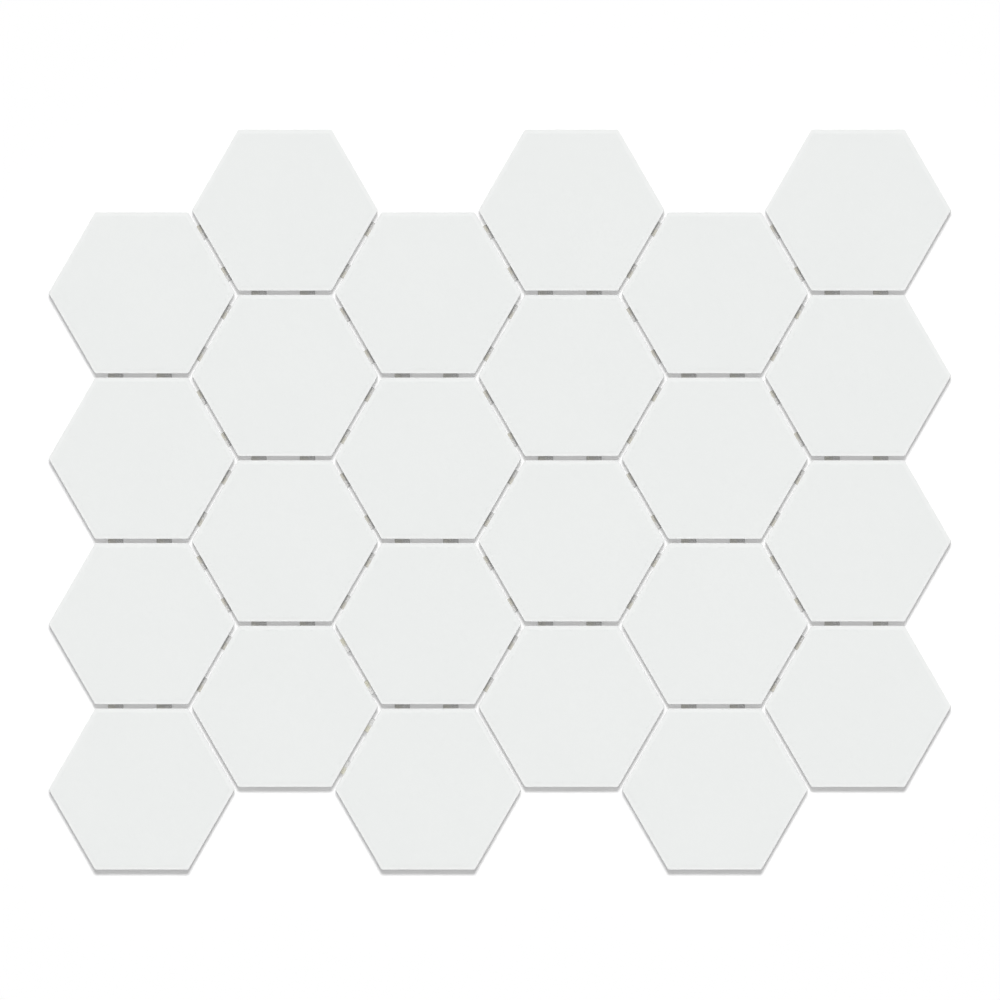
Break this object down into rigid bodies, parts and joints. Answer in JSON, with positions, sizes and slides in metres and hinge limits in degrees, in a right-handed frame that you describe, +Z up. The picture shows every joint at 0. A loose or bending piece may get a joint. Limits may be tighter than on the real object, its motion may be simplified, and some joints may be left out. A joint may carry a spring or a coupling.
{
  "type": "hexagon floor tile, mosaic sheet",
  "caption": "Sheet of matt white hexagon floor tiles with softly eased edges, held at an even grout joint by small plastic mounting dots.",
  "frame": {"origin": "on the plane the tile backs lie on, under the middle of the sheet's box", "axes": "+X along the row of columns, towards the last column; +Y towards the sheet's top edge, where the even columns stand out; +Z up out of the tile faces"},
  "size_m": [0.3048, 0.2502, 0.0063],
  "materials": {
    "tile_face": "matt white porcelain, even and smooth",
    "mounting_dot": "translucent beige-grey soft plastic"
  },
  "bodies": {
    "root": {"tile_column1_row1": "tile_face", "tile_column1_row2": "tile_face", "tile_column1_row3": "tile_face", "tile_column1_row4": "tile_face", "tile_column2_row1": "tile_face", "tile_column2_row2": "tile_face", "tile_column2_row3": "tile_face", "tile_column2_row4": "tile_face", "tile_column3_row1": "tile_face", "tile_column3_row2": "tile_face", "tile_column3_row3": "tile_face", "tile_column3_row4": "tile_face", "tile_column4_row1": "tile_face", "tile_column4_row2": "tile_face", "tile_column4_row3": "tile_face", "tile_column4_row4": "tile_face", "tile_column5_row1": "tile_face", "tile_column5_row2": "tile_face", "tile_column5_row3": "tile_face", "tile_column5_row4": "tile_face", "tile_column6_row1": "tile_face", "tile_column6_row2": "tile_face", "tile_column6_row3": "tile_face", "tile_column6_row4": "tile_face", "mounting_dots_column1": "mounting_dot", "mounting_dots_column2": "mounting_dot", "mounting_dots_column3": "mounting_dot", "mounting_dots_column4": "mounting_dot", "mounting_dots_column5": "mounting_dot", "mounting_dots_column6": "mounting_dot", "mounting_dots_columns1_2": "mounting_dot", "mounting_dots_columns2_3": "mounting_dot", "mounting_dots_columns3_4": "mounting_dot", "mounting_dots_columns4_5": "mounting_dot", "mounting_dots_columns5_6": "mounting_dot"}
  },
  "joints": []
}
